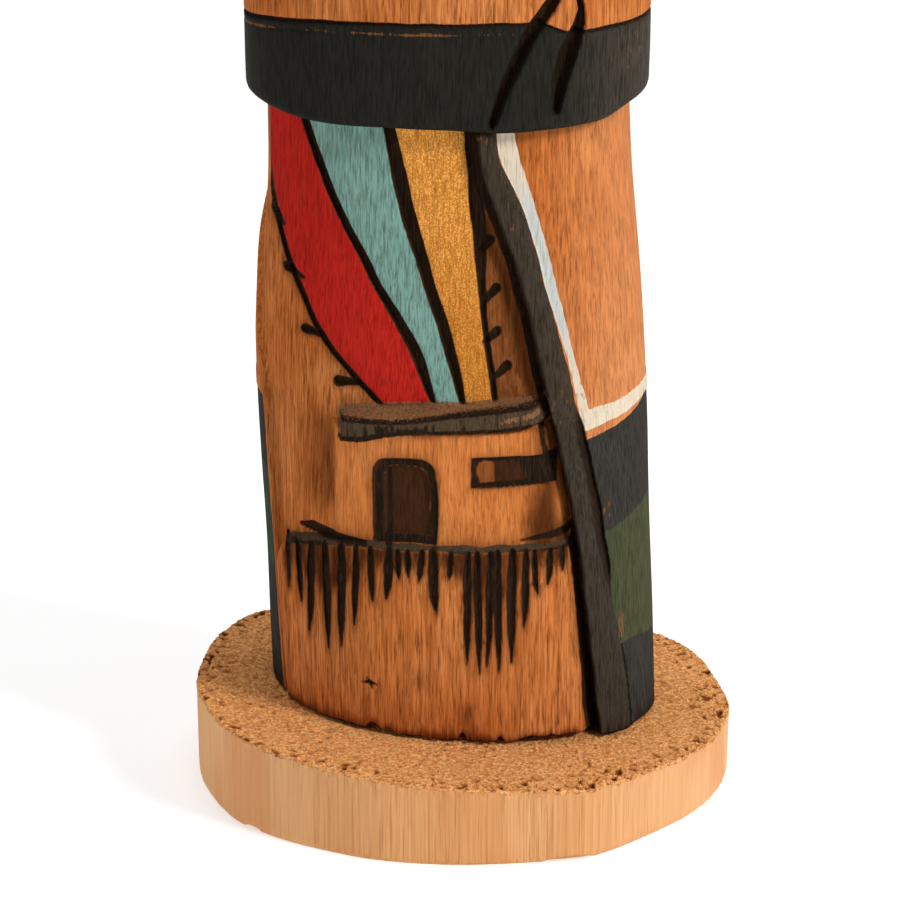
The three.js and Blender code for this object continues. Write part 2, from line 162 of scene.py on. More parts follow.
# The deep cuts beside the fold in the hem: x, z and half width.
PLEATS = [
    [(16.6, 148.6, 0.7), (13.8, 144.4, 1.3), (10.8, 140.2, 1.3), (7.4, 133, 1.2), (4.4, 125.8, 0.8)],
    [
        (16, 148, 0.5), (18.6, 147, 0.7), (19.3, 143.6, 0.7), (19, 141, 1.2), (17.2, 136.5, 1.7),
        (15.8, 131.5, 1.4), (15.2, 127.4, 0.8),
    ],
]
# How far the hem's lower edge wanders up or down, along x.
HEM_DROOP = [
    (-38, 1.4), (-33, 0.8), (-28, 0.2), (-12, 0), (-2, -0.4), (5, -0.9), (12, -0.8), (20, -0.5), (24, -0.1),
    (27.3, 1.1), (32, 2.4),
]
# The painted rings: height by x on the right of the front, then the height where they meet the left border.
WHITE_TOP = [(18, 72.5), (21.6, 72.8), (26.9, 73.3), (29.1, 73.8), (31.6, 74.4)], 74.2
WHITE_FOOT = [(18, 69), (21.7, 69.2), (25.2, 70), (28.8, 70.8), (31.4, 71.8)], 71.2
BLACK_TOP = [(18, 66.8), (20.6, 67.4), (23.4, 68), (27, 69.1), (29.9, 70.4), (31.6, 71.8)], 71
GREEN_TOP = [(18, 50.4), (23.6, 50.6), (26.1, 50.7), (28.6, 51.7), (31.8, 53)], 58
GREEN_FOOT = [(18, 29.6), (27.8, 29.5), (30.4, 29.2), (33, 28)], 39.6
SEAM = [(-1.5, 194), (1.2, 188), (8.2, 174), (13.5, 160), (16.4, 147.6)]
EYE_X, EYE_Z, EYE_WIDTH, EYE_HEIGHT = 7.6, 230.5, 7.4, 2.6
MOUTH_Z, MOUTH_WIDTH, MOUTH_HEIGHT = 217, 6.4, 2.4
EAR_Z, EAR_WIDTH, EAR_HEIGHT, EAR_REACH = 228, 8, 9.5, 3.2
NOSE_TOP = 231.5
FEATHER_HEIGHT, FEATHER_HALF, FEATHER_THICK, FEATHER_LEAN = 16.5, 3.7, 2.6, 24
FEATHER_ROWS, FEATHER_COLUMNS = 26, 20
# A distance that counts as far outside any shape.
OUTSIDE = -9


# ---------- fields: numbers worked out over the surface ----------

def unit(value):
    """The value, kept between 0 and 1."""
    return np.clip(value, 0, 1)


def ramp(value, width=1.0, middle=0.0):
    """0 to 1 as value passes middle, softly, within width."""
    t = unit((value - middle) / width + 0.5)
    return t * t * (3 - 2 * t)


def lattice(ix, iy, iz, seed):
    """A fixed random value from -1 to 1 at each whole-number corner."""
    h = ix * 374761393 + iy * 668265263 + iz * 1440662683 + seed * 1274126177
    h = (h ^ (h >> 13)) * 1274126177 & 0xFFFFFFFF
    h = (h ^ (h >> 16)) & 0xFFFF
    return h / 32767.5 - 1


def noise(x, y, z, seed=0):
    """Smooth random values from -1 to 1, about one wave per unit."""
    x, y, z = np.broadcast_arrays(x, y, z)
    ix, iy, iz = (np.floor(v).astype(np.int64) for v in (x, y, z))
    fx, fy, fz = x - ix, y - iy, z - iz
    fx, fy, fz = (f * f * (3 - 2 * f) for f in (fx, fy, fz))
    total = 0
    for dx in (0, 1):
        for dy in (0, 1):
            for dz in (0, 1):
                share = (fx if dx else 1 - fx) * (fy if dy else 1 - fy) * (fz if dz else 1 - fz)
                total = total + share * lattice(ix + dx, iy + dy, iz + dz, seed)
    return total


class Line:
    """A smooth line through a few points: one coordinate as a function of the other."""

    def __init__(self, points):
        points = sorted(points, key=lambda p: p[1])
        self.value = np.array([p[0] for p in points], float)
        self.key = np.array([p[1] for p in points], float)
        self.slope = np.gradient(self.value, self.key)

    def at(self, key):
        key = np.clip(key, self.key[0], self.key[-1])
        i = np.clip(np.searchsorted(self.key, key) - 1, 0, len(self.key) - 2)
        step = self.key[i + 1] - self.key[i]
        t = (key - self.key[i]) / step
        a, b = self.value[i], self.value[i + 1]
        ma, mb = self.slope[i] * step, self.slope[i + 1] * step
        return (
            a * (2 * t**3 - 3 * t**2 + 1) + ma * (t**3 - 2 * t**2 + t)
            + b * (3 * t**2 - 2 * t**3) + mb * (t**3 - t**2)
        )

    def beyond(self, value, key):
        """The distance past the line, positive towards larger values."""
        lean = (self.at(key + 0.5) - self.at(key - 0.5))
        return (value - self.at(key)) / np.hypot(1, lean)


def level_line(points):
    """A line that gives the height z at each x."""
    return Line([(z, x) for x, z in points])


def all_of(*distances):
    """How far inside all of the shapes."""
    return functools.reduce(np.minimum, distances)


def any_of(*distances):
    """How far inside any of the shapes."""
    return functools.reduce(np.maximum, distances)


def only(where, distance):
    """The distance where this holds, and far outside elsewhere."""
    return np.where(where, distance, OUTSIDE)


def close_to(value, reach):
    """1 where value is 0, fading with about this reach to both sides."""
    return np.exp(-abs(value) / reach)


def spread(distance, reach):
    """1 inside a shape, fading with about this reach outside it."""
    return np.exp(np.clip(distance, OUTSIDE, 0) / reach)


def box_about(x, z, width, height):
    """Left, right, foot and top of a box about its middle."""
    return x - width / 2, x + width / 2, z - height / 2, z + height / 2


def in_box(x, z, box):
    """How far inside a box from left, right, foot and top."""
    left, right, foot, top = box
    return all_of(x - left, right - x, z - foot, top - z)


def in_round_box(x, z, box, radius):
    """As in_box, with rounded upper corners."""
    left, right, foot, top = box
    across = all_of(x - left, right - x)
    down = top - z
    corner = radius - np.hypot(np.maximum(radius - across, 0), np.maximum(radius - down, 0))
    inside = np.where((across < radius) & (down < radius), corner, all_of(across, down))
    return all_of(inside, z - foot)


def in_stroke(x, z, points):
    """How far inside a stroke whose points carry a half width."""
    best = np.full(np.shape(x), -99.0)
    for (ax, az, ah), (bx, bz, bh) in zip(points, points[1:]):
        vx, vz = bx - ax, bz - az
        t = unit(((x - ax) * vx + (z - az) * vz) / (vx * vx + vz * vz))
        inside = ah + (bh - ah) * t - np.hypot(x - ax - vx * t, z - az - vz * t)
        best = any_of(best, inside)
    return best


def in_strokes(x, z, strokes):
    """How far inside any of these strokes."""
    return any_of(*(in_stroke(x, z, points) for points in strokes))


def tick_stroke(x, z, length, angle):
    """A tick's round head and its narrower tail."""
    c, s = math.cos(math.radians(angle)), math.sin(math.radians(angle))
    half = TICK_WIDTH / 2
    head = (x - c * (length * 0.5 - half), z - s * (length * 0.5 - half), half)
    return [head, (x + c * length * 0.5, z + s * length * 0.5, 0.35 if x < 0 else 0.6)]


def drip_stroke(number, x, tip, width):
    """A burnt stroke that falls from the ledge with a slight bend."""
    top = float(ledge_line.at(np.array(max(x, -29.5)))) - 1.0
    bend = 0.3 * math.sin(number * 2.4)
    fall = top - tip
    return [
        (x - bend, top, width * 0.36), (x - bend / 2, top - 0.3 * fall, width * 0.5),
        (x, top - 0.7 * fall, width * 0.4), (x + bend, tip + 0.3, 0.12),
    ]


lines = {name: Line(points) for name, points in RAY_LINES.items()}
left_border = Line(LEFT_BORDER_Y)
strip_left = Line(STRIP_LEFT)
strip_right = Line(STRIP_RIGHT)
white_right = Line(WHITE_RIGHT)
roof_front = level_line(ROOF_TOP_FRONT)
roof_back = level_line(ROOF_TOP_BACK)
roof_foot = level_line(ROOF_FOOT)
ledge_line = level_line(LEDGE_LINE)
tick_strokes = [tick_stroke(*tick) for tick in TICKS]
drip_strokes = [drip_stroke(number, *drip) for number, drip in enumerate(DRIPS)]
eye_boxes = [box_about(HEAD_X + side * EYE_X, EYE_Z, EYE_WIDTH, EYE_HEIGHT) for side in (-1, 1)]
mouth_box = box_about(HEAD_X, MOUTH_Z, MOUTH_WIDTH, MOUTH_HEIGHT)
ear_box = box_about(HEAD_Y, EAR_Z, EAR_WIDTH, EAR_HEIGHT)


def hem_top(x):
    """The height of the burnt line along the hem's upper edge."""
    right = ramp(x, 6, 15)
    side = unit(abs(x + 3) / 34) ** 4
    return 142.1 - 2.2 * right - 2.6 * side * (1 - right) + 0.1 * noise(x / 3, 0, 0, 5)


def ring_height(x, y, ring):
    """The height of a painted ring's edge, on the front by its line and behind by an even slope."""
    points, left = ring
    line = level_line(points)
    side = points[-1][1]
    behind = side + (left - side) * unit((32 - x) / 68)
    front = np.where(x > 0, line.at(x), left)
    return front + (behind - front) * ramp(y, 5, 3) + 0.12 * noise(x / 2, y / 2, 0, 51)


def fields(x, y, z):
    """Distances, in millimetres and positive inside, to everything carved or painted on the front."""
    wx = x + 0.16 * noise(x / 4, y / 4, z / 5, 1) + 0.07 * noise(x, y, z / 1.5, 2)
    wz = z + 0.16 * noise(x / 4, y / 4, z / 4, 3)
    front = ramp(-y, 2, -1.5)
    below_hem = HEM_FOOT - z
    past_left, past_right = strip_left.beyond(wx, wz), strip_right.beyond(wx, wz)
    f = SimpleNamespace(front=front, strip_left=past_left)
    f.panel = all_of(left_border.at(z) - y, -past_left)
    f.strip = only(y < 8, all_of(past_left, -past_right, below_hem))
    d = {name: line.beyond(wx, wz) for name, line in lines.items()}
    above_roof = wz - roof_back.at(wx)
    for ray in ("red", "turquoise", "gold"):
        vars(f)[ray] = all_of(d[ray + "_left"], -d[ray + "_right"], above_roof, below_hem)
    grooves = any_of(
        all_of(d["red_left"] + OUTER_GROOVE, -d["red_left"]),
        all_of(d["red_right"], -d["turquoise_left"]),
        all_of(d["turquoise_right"], -d["gold_left"]),
        all_of(d["gold_right"], OUTER_GROOVE + 1.4 * ramp(z, 16, 99) - d["gold_right"]),
    )
    f.groove = all_of(grooves, above_roof, 2.5 - y)
    f.rays = all_of(d["red_left"], -d["gold_right"], above_roof)
    f.right_of_gold = all_of(d["gold_right"], -past_left)
    on_roof = all_of(wz - roof_foot.at(wx), wx - ROOF_LEFT)
    f.roof = all_of(roof_front.at(wx) - wz, on_roof)
    f.roof_back = all_of(roof_back.at(wx) - wz, on_roof)
    f.wall = in_box(wx, wz, WALL_BOX)
    bow = 0.5 * (1 - ((wx + 9.9) / 5.4) ** 2)
    belly = 0.45 * np.sin(unit((wz - 51) / 12) * np.pi) * ramp(wx, 3, -8)
    f.door_frame = in_round_box(wx - belly + 0.3, wz - bow, DOOR_FRAME_BOX, 2.4)
    f.door = in_round_box(wx - belly, wz - bow, DOOR_BOX, 1.8)
    f.window = in_box(wx, wz, WINDOW_BOX)
    f.ledge = ledge_line.at(wx) - wz
    f.ticks = in_strokes(wx, wz, tick_strokes)
    f.drips = in_strokes(wx, wz, drip_strokes)
    longer = np.exp(-((x + 24) / 5) ** 2) + 1.3 * np.exp(-((x - 4.5) / 4.5) ** 2)
    burnt_area = ramp(f.ledge, 1, 0.8) * ramp(-f.ledge, 6, -4.5 - 6 * longer)
    f.burnt_area = burnt_area * (x > -31) * (x < 18) * front
    f.marks = all_of(in_strokes(x, z, MARKS), -past_left)
    f.star = in_strokes(x, z, STAR)
    f.crack = in_stroke(x, z, CRACK)
    f.seam = in_stroke(wx, wz, [(sx, sz, 0.55) for sx, sz in SEAM])
    f.pleat = in_strokes(wx, wz, PLEATS)
    f.hem_top = hem_top(x) - z
    f.white = all_of(past_right, -white_right.beyond(wx, wz))
    along_strip = ramp(z, 12, 40) * ramp(-z, 8, -73)
    # The crease along the strip's right edge: a carved groove, whose darkening in the colour is painted
    # shade.
    f.crease = 1.15 * along_strip - 0.45 - abs(past_right + 0.1)
    f.white_ring = all_of(ring_height(x, y, WHITE_TOP) - z, z - ring_height(x, y, WHITE_FOOT))
    return f


def hem_droop(x, z):
    """The hem's wandering lower edge: how far the surface near it is moved up."""
    near = ramp(z, 8, 119) * ramp(-z, 9, -129.5)
    return level_line(HEM_DROOP).at(x) * near


def robe_level(f, x, y, z):
    """The carved surface's height below the hem."""
    front, past_left, strip = f.front, f.strip_left, f.strip
    level = -0.8 * ramp(-x, 6, 20) * ramp(z, 16, 88) * ramp(6 - y, 12)
    panel = PANEL - 0.7 * ramp(f.right_of_gold, 4, 2.5) * ramp(z, 6, 78)
    level += (panel - level) * ramp(f.panel, 0.8, 0.1)
    level += (RAY - level) * ramp(f.rays, 0.5) * front
    depth = unit(f.groove / 0.6) * front
    level += (RAY_GROOVE - level) * depth * (2 - depth) * ramp(f.groove, 0.3, 0.05)
    below = all_of(f.ledge, -past_left - 0.2, left_border.at(z) - y - 0.5)
    level += (LEDGE - level) * ramp(below, 0.9, 0.2)
    lean = WALL_FOOT + (WALL_TOP - WALL_FOOT) * unit((z - 49) / 22)
    on_wall = ramp(all_of(f.wall, -past_left), 0.9, 0.1) * ramp(-f.ledge, 0.6, -0.3) * front
    level += (lean - level) * on_wall
    roof = all_of(f.roof, -past_left)
    back = unit(f.roof_back / np.maximum(f.roof_back - f.roof + 0.35, 0.35))
    level += (ROOF - level) * np.minimum(back, ramp(roof + 1.2, 1.6, 0.4)) * front
    opening = 0.5 * ramp(f.door_frame, 0.5) + 0.6 * ramp(f.door, 0.5)
    opening = opening + 0.9 * ramp(all_of(f.window, -past_left), 0.5)
    level -= opening * front
    reach = unit((past_left + GOUGE_WIDTH) / GOUGE_WIDTH) * (past_left < 0.3)
    depth = (GOUGE + 0.9 * ramp(z, 30, 95)) - level
    level += np.minimum(depth, 0) * reach**1.6 * front
    level += (STRIP - level) * ramp(strip, 0.9, 0.15)
    beside = np.clip(strip_right.beyond(x, z), 0, 20)
    level += 0.9 * np.exp(-beside / 3.5) * ramp(-z, 9, -31) * (beside > 0) * front
    level += 0.25 * np.sqrt(unit(strip / 2.2)) * (strip > 0)
    level -= 0.9 * unit(f.crease / 0.5) * front
    off_panel = any_of(-f.panel - 1, past_left - 9)
    level += 0.15 * ramp(all_of(f.white_ring, off_panel), 0.4)
    level -= 0.9 * unit(f.ticks / 0.7) * front
    level -= front * (0.5 * ramp(f.marks, 0.6) + 0.6 * ramp(f.star, 0.6))
    level -= front * 0.4 * ramp(f.crack, 0.4)
    level -= 0.12 * f.burnt_area * (1 + noise(x / 0.6, 0, z / 1.2, 24))
    drip = unit(f.drips / 0.5)
    return level - 0.65 * drip * (2 - drip) * front


def cape_level(f, x):
    """The carved surface's height on the hem and the cape above it."""
    groove = unit(1 - abs(f.hem_top) / 0.5)
    level = -0.75 * groove * (3 - 2 * groove) * groove
    level -= 0.2 * unit(1 - abs(f.hem_top - WORN_LINE) / 0.45) * ramp(-x, 4, -9)
    level -= 0.7 * unit(f.seam / 0.5) * f.front
    return level - 2.4 * np.sqrt(unit(f.pleat)) * f.front


def head_level(x, y, z, turn):
    """The ruff's grooves, the hair and the face."""
    behind = ramp(abs(turn / (2 * np.pi) - 0.5), -0.02, 0.2)
    ruff = ramp(z, 0.6, NECK_Z + 0.8) * ramp(-z, 0.6, -RUFF_TOP)
    level = -0.65 * ruff * (1 - np.cos(24 * turn + 0.35 * (z - 204)))
    level -= 0.3 * ruff * abs(np.sin(60 * turn - 1.5 * z))
    hair = behind * ramp(z, 0.6, MASK_FOOT) * ramp(-z, 3, -250)
    level -= 0.45 * hair * (1 - np.cos(24 * turn))
    level -= 0.15 * hair * abs(np.sin(96 * turn))
    front = ramp(-y, 2, -3)
    for eye in eye_boxes:
        level -= 1.4 * ramp(in_box(x, z, eye), 0.6) * front
    level -= 1.2 * ramp(in_box(x, z, mouth_box), 0.6) * front
    nose_half = 2.2 * unit((NOSE_TOP - z) / 9)
    nose = all_of(nose_half - abs(x - HEAD_X), z - 222.6)
    level += 1.8 * unit(nose / 1.6 + 0.1) * (z < NOSE_TOP) * front
    return level + EAR_REACH * ramp(in_box(y, z, ear_box), 0.8)


# ---------- the figure's surface ----------

def sections(z):
    """Left, right, front, back and the squareness of the section at each height."""
    out = []
    for column in range(1, 5):
        robe = Line(list(zip(ROBE[:, column], ROBE[:, 0]))).at(z)
        cape = Line(list(zip(CAPE[:, column], CAPE[:, 0]))).at(z)
        out.append(np.where(z < HEM_SPLIT, robe, cape))
    radius = np.interp(z, *zip(*(RUFF + MASK)))
    dome = DOME_RADIUS * np.sqrt(unit(1 - ((z - DOME_FOOT) / (CROWN_Z - DOME_FOOT)) ** 2))
    radius = np.where(z > DOME_FOOT, dome, radius)
    head = [HEAD_X - radius, HEAD_X + radius, HEAD_Y - radius, HEAD_Y + radius]
    return [np.where(z > NECK_Z + 0.5, h, body) for h, body in zip(head, out)]


def widest(z):
    """The y where the left and the right side reach furthest out."""
    upper = ramp(z, 49, 70.5)
    shoulder = ramp(z, NECK_Z - SHOULDER_Z, (NECK_Z + SHOULDER_Z) / 2)
    left = WIDEST_LEFT + (WIDEST_LEFT_UPPER - WIDEST_LEFT) * upper
    right = WIDEST_RIGHT + (HEAD_Y - WIDEST_RIGHT) * shoulder
    return left, right, BODY_POWER + (2 - BODY_POWER) * shoulder


def surface(turn, z, level_of):
    """Points of the skin at angle turn, from the front round by the right, and height z."""
    left, right, front, back = sections(z)
    wide_left, wide_right, power = widest(z)
    across, ahead = np.sin(turn), np.cos(turn)
    bent = np.sign(across) * abs(across) ** (2 / power)
    bent_ahead = np.sign(ahead) * abs(ahead) ** (2 / power)
    wide = np.where(across < 0, wide_left, wide_right)
    reach = np.where(ahead > 0, wide - front, back - wide)
    middle, half = (left + right) / 2, (right - left) / 2
    x0, y0 = middle + bent * half, wide - bent_ahead * reach
    # On the front the carving goes straight in; towards the sides it goes in across the section.
    side = np.maximum(ramp(abs(bent), 0.1, 0.9), ramp(-ahead, 0.1, -0.05))
    x_read = x0 + side * np.where((x0 < 0) & (z < HEM_FOOT), PANEL * bent, 0)
    level = level_of(x_read, y0, z)
    level = level + 0.12 * noise(x0 / 9, y0 / 9, z / 14, 7) + 0.03 * noise(x0 / 2, y0 / 2, z / 9, 8)
    t = np.clip(abs(x0 - middle) / (half + level), 0, 0.995)
    y_in = wide - (1 - t**power) ** (1 / power) * (reach + level)
    x = x0 + side * bent * level
    y = y_in + side * (wide - bent_ahead * (reach + level) - y_in)
    return x, y


def around(step_front, step_back):
    """Angles of the columns, close together on the carved front and wider behind."""
    fine = np.linspace(0, 2 * np.pi, 8001)
    x = 34 * np.sin(fine)
    y = -27 * np.cos(fine)
    length = np.hypot(np.diff(x), np.diff(y))
    middle = (fine[1:] + fine[:-1]) / 2
    share = ramp(-np.cos(middle), 0.3, 0.25)
    density = length / (step_front + (step_back - step_front) * share)
    total = np.concatenate([[0], np.cumsum(density)])
    count = int(round(total[-1]))
    return np.interp(np.arange(count) * total[-1] / count, total, fine)


def foot_height(x, y):
    """The figure's lower edge above the sloping slice, with its chips and the raised stretch at the right."""
    plane = SLICE_HEIGHT + FOOT_GAP - x * SLOPE
    front = ramp(-y, 6, 2)
    raised = 0.9 * ramp(x, 4, 9.5) * ramp(-x, 4, -23.5) + 0.12 * (1 + noise(x / 1.3, y / 1.3, 0, 11))
    for at, half, height in CHIPS:
        raised = raised + height * unit(1 - ((x - at) / half) ** 2)
    return plane + raised * front


def slice_top(x):
    """The height of the slice's sawn top."""
    return SLICE_HEIGHT - x * SLOPE


def grid_faces(rows, columns):
    """The quads of a grid that closes round its columns."""
    r, c = np.meshgrid(np.arange(rows - 1), np.arange(columns), indexing="ij")
    following = (c + 1) % columns
    quads = [r * columns + c, r * columns + following, (r + 1) * columns + following, (r + 1) * columns + c]
    return np.stack(quads, axis=-1).reshape(-1, 4)


def add_object(name, data):
    """A new object in the scene."""
    made = bpy.data.objects.new(name, data)
    bpy.context.scene.collection.objects.link(made)
    return made


def new_mesh(name, points, quads, fans):
    """A mesh object from points in millimetres, quads, and fans of (centre, ring, facing down)."""
    faces = quads.tolist()
    for centre, ring, down in fans:
        following = np.roll(ring, -1)
        pairs = zip(following, ring) if down else zip(ring, following)
        faces += [[int(centre), int(a), int(b)] for a, b in pairs]
    mesh = bpy.data.meshes.new(name)
    mesh.from_pydata((points * MM).tolist(), [], faces)
    mesh.validate()
    mesh.shade_smooth()
    return add_object(name, mesh)


def store(piece, values_by_name):
    """Stores a number at each vertex under each name."""
    for name, values in values_by_name.items():
        attribute = piece.data.attributes.new(name, "FLOAT", "POINT")
        attribute.data.foreach_set("value", values.astype(np.float32))


def reduce_faces(piece, triangles):
    """Joins the flattest faces until about this many triangles are left."""
    now = sum(len(p.vertices) - 2 for p in piece.data.polygons)
    if now <= triangles:
        return
    modifier = piece.modifiers.new("fewer", "DECIMATE")
    modifier.ratio = triangles / now
    modifier.use_collapse_triangulate = True
    bpy.context.view_layer.objects.active = piece
    with bpy.context.temp_override(object=piece, active_object=piece):
        bpy.ops.object.modifier_apply(modifier=modifier.name)


def figure_points():
    """The figure's skin as rows of points, foot to crown."""
    step = 0.27
    turn = around(step, 1.1)
    foot = foot_height(*surface(turn, np.full(len(turn), 14.0), lambda x, y, z: 0 * x))
    z = foot + (ROBE_TOP - foot) * np.linspace(0, 1, int(110 / step))[:, None]
    x, y = surface(turn, z, lambda x, y, z: robe_level(fields(x, y, z), x, y, z))
    robe = np.stack([x, y, z + hem_droop(x, z)], axis=-1)
    # The hem's lower lip: heights and how far each stands out.
    lip = np.array([(HEM_FOOT, -1.7), (124.1, -1.0), (124.35, -0.5), (124.7, -0.2), (125.2, -0.05)])
    upper = np.concatenate([
        np.arange(125.6, 149.5, step), np.arange(149.5, NECK_Z + 0.01, 1.0),
        np.arange(NECK_Z + 1, 210, 0.45), np.arange(210, 237, 0.6), np.arange(237, 242.2, 0.3),
        np.arange(242.5, 254.6, 0.6), [254.7, 254.9],
    ])
    z = np.concatenate([lip[:, 0], upper])[:, None]
    out = np.concatenate([lip[:, 1], 0 * upper])[:, None]

    def level_of(x, y, z):
        cape = cape_level(fields(x, y, z), x) + out
        return np.where(z < NECK_Z + 0.5, cape, head_level(x, y, z, turn))

    x, y = surface(turn, z, level_of)
    wobble = 0.22 * noise(x / 11, y / 11, 0, 12) * ramp(-z, 8, -128)
    above = np.stack([x, y, z + wobble + hem_droop(x, z)], axis=-1)
    return np.concatenate([robe, above])


def feather_mesh(place):
    """One flat feather of the crown with rounded faces, as points and quads."""
    s = np.linspace(0, 1, FEATHER_ROWS)
    half = FEATHER_HALF * np.interp(s, [0, 0.55, 0.8, 0.93, 1], [0.42, 1, 0.86, 0.5, 0.08])
    ring = np.linspace(0, 2 * np.pi, FEATHER_COLUMNS, endpoint=False)
    x = half[:, None] * np.sign(np.cos(ring)) * abs(np.cos(ring)) ** 0.8
    thick = FEATHER_THICK / 2 * np.minimum(1, 0.35 + 2.2 * (1 - s))[:, None]
    y = thick * np.sin(ring) * (1 - 0.12 * np.cos(9 * s[:, None] * np.pi))
    z = np.broadcast_to((-4 + (FEATHER_HEIGHT + 4) * s)[:, None], x.shape)
    lean = math.radians(place * FEATHER_LEAN)
    turned_x = x * math.cos(lean) + z * math.sin(lean)
    turned_z = z * math.cos(lean) - x * math.sin(lean)
    px = HEAD_X + place * 1.6 + turned_x
    py = HEAD_Y + abs(place) * 0.8 + y
    points = np.stack([px, py, CROWN_Z - 1 + turned_z], axis=-1).reshape(-1, 3)
    return points, grid_faces(FEATHER_ROWS, FEATHER_COLUMNS)


def paint_attributes(piece):
    """Stores at each vertex the distances that the paint, the burnt lines and the painted shadows follow."""
    count = len(piece.data.vertices)
    co = np.empty(count * 3, np.float32)
    piece.data.vertices.foreach_get("co", co)
    x, y, z = (co.reshape(-1, 3).astype(float) / MM).T
    drooped = z
    for _ in range(4):
        z = drooped - hem_droop(x, z)
    f = fields(x, y, z)
    past_left = f.strip_left
    near_front = y < 9
    out = SimpleNamespace(red=f.red, turquoise=f.turquoise, gold=f.gold, strip=f.strip)
    below_hem = np.where(z < HEM_SPLIT, 9, OUTSIDE)
    left_edge = -f.panel - 0.9 * ramp(-x, 10, 10)
    robe = all_of(any_of(left_edge, past_left), below_hem)
    out.robe = robe
    clear_of_strip = np.where(y < 6, strip_right.beyond(x, z) - 0.3 * ramp(-z, 20, -88), 9)
    stripe = only(y < 6, all_of(f.white, z - 70.4))
    out.white = all_of(any_of(f.white_ring, stripe), clear_of_strip, robe)
    out.black = all_of(robe, ring_height(x, y, BLACK_TOP) - z)
    out.green = all_of(robe, ring_height(x, y, GREEN_TOP) - z, z - ring_height(x, y, GREEN_FOOT))
    out.hem = only((z > HEM_SPLIT) & (z <= HEM_PAINT_TOP), f.hem_top)
    on_wall = all_of(x + 21.6, -past_left)
    window = all_of(f.window, -past_left)
    deep = all_of(window, x - 10.2 + 0.5 * (z - 63.5) - 1.5 * noise(x / 3, 0, z, 61))
    outline = any_of(all_of(window, 0.85 - window), deep)
    jambs = all_of(f.door_frame, 1.4 - abs(f.door + 0.9) / 0.7 * 1.4)
    beam_low = 0.5 + 0.25 * ramp(-x, 8, 12) - abs(z - roof_foot.at(x) - 0.3)
    beam_top = 0.3 - abs(z - roof_front.at(x) + 0.1)
    beam = all_of(any_of(beam_low, beam_top), on_wall)
    wander = 0.18 * noise(x / 2.5, 0, 0, 62)
    along_ledge = all_of(x + 31.2, -past_left)
    at_ends = 0.3 * ramp(abs(x + 6), 12, 18)
    ledge = all_of(at_ends + wander - abs(f.ledge - 0.8), along_ledge)
    beside_wall = ramp(z, 3, 51) * ramp(-z, 4, -73)
    # The dark band left of the strip: partly burnt wood, partly painted shadow of the proud strip; narrower
    # beside the wall.
    gouge = all_of(-past_left, past_left + 1.5 + 0.7 * ramp(-z, 20, -30) - 1.2 * beside_wall)
    # Painted shadow: a dark line along the figure's lower edge, where the gap above the slice lies in shade.
    foot_shadow = all_of(foot_height(x, y) + 0.1 + 0.25 * noise(x / 1.5, y, 0, 63) - z, 2 - y)
    # Burnt lines, and painted shade and shadow darkened the same way: the crease beside the strip, the band
    # left of it and the foot's lower edge.
    burnt_below = any_of(
        f.groove, f.ticks, f.drips, f.marks, f.star, f.crack, f.crease, outline, jambs,
        in_stroke(x, z, LEFT_JAMB), in_stroke(x, z, WINDOW_STILE), beam, ledge, only(z < ROBE_TOP, gouge),
        foot_shadow,
    )
    burnt_line = only((z > HEM_FOOT) & (z < HEM_PAINT_TOP), 0.28 - abs(f.hem_top))
    pleat = only(near_front, any_of(f.pleat - 0.15, f.seam))
    burnt_above = only(z > HEM_FOOT, any_of(pleat, burnt_line))
    # Burnt lines together with painted shade and painted shadow.
    out.burn = any_of(only(near_front & (z < HEM_FOOT), burnt_below), burnt_above)
    dark_pane = all_of(window, x - 5.3 - 0.9 * noise(x / 2, 0, z, 64))
    out.door = any_of(f.door_frame, dark_pane)
    ledge_top = all_of(0.4 + 0.25 * noise(x / 3, 0, 0, 66) - abs(f.ledge - 0.4), along_ledge)
    beam_face = all_of(f.roof, on_wall, -in_stroke(x, z, BARE_BEAM))
    out.beam = any_of(beam_face, ledge_top)
    out.fresh = all_of(f.wall, -past_left, -f.ledge)
    out.roof_top = all_of(f.roof_back, on_wall) + 0.4
    for name in ("red", "turquoise", "gold", "strip", "door", "beam", "fresh", "roof_top"):
        vars(out)[name] = only(near_front, vars(out)[name])
    # Browned wood together with painted shade and painted shadow, 0 to 1.
    out.scorch = scorch(f, x, y, z) * near_front
    # Paint taken off by rubbing, and the painted highlight inside the door.
    out.wear = wear(f, x, z) * near_front
    head = z > NECK_Z + 0.6
    behind = abs(np.arctan2(x - HEAD_X, HEAD_Y - y)) - 0.31 * 2 * np.pi
    out.ruff = only(head, all_of(RUFF_TOP - z, z - 198.7))
    out.hair = only((z > RUFF_TOP) & (z <= 254.2), any_of(behind * 19, z - BROW_TOP))
    out.brow = only(head, all_of(BROW_TOP - z, z - BROW_FOOT))
    out.ear = only(head & (abs(x - HEAD_X) > 15), in_box(y, z, ear_box) + 0.3)
    slots = any_of(*(in_box(x, z, box) for box in (*eye_boxes, mouth_box)))
    out.slots = only(head & (y < 0), slots + 0.1)
    out.feather = only(z > 254.9, z - 266.0)
    store(piece, {name: np.clip(values, OUTSIDE, 300) for name, values in vars(out).items()})


